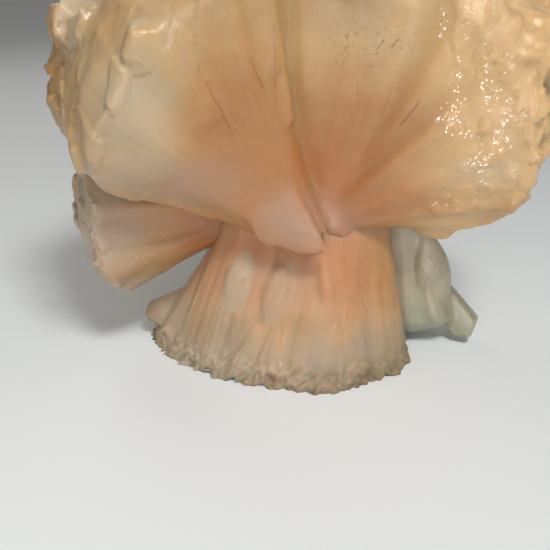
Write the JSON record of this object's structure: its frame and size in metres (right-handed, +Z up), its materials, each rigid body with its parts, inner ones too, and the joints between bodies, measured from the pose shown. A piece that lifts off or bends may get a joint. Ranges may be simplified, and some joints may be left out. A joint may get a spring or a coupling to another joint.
{
  "type": "stilbite cluster",
  "caption": "Wheat-sheaf cluster of grown-together flat crystals that fans up and down from a narrow waist and rests on a flat cut base.",
  "frame": {"origin": "a point near the middle of the flat cut underneath that the cluster rests on, right under the waist", "axes": "+Z up along the waist, +X to the right along the widest spread of the sheaf, +Y to the back, with the broad front facing -Y"},
  "size_m": [0.1142, 0.0841, 0.1028],
  "materials": {
    "stilbite": "waxy, pearly, translucent peach to cream crystal with fine lengthwise striations"
  },
  "bodies": {
    "root": {"stilbite_cluster": "stilbite"}
  },
  "joints": []
}
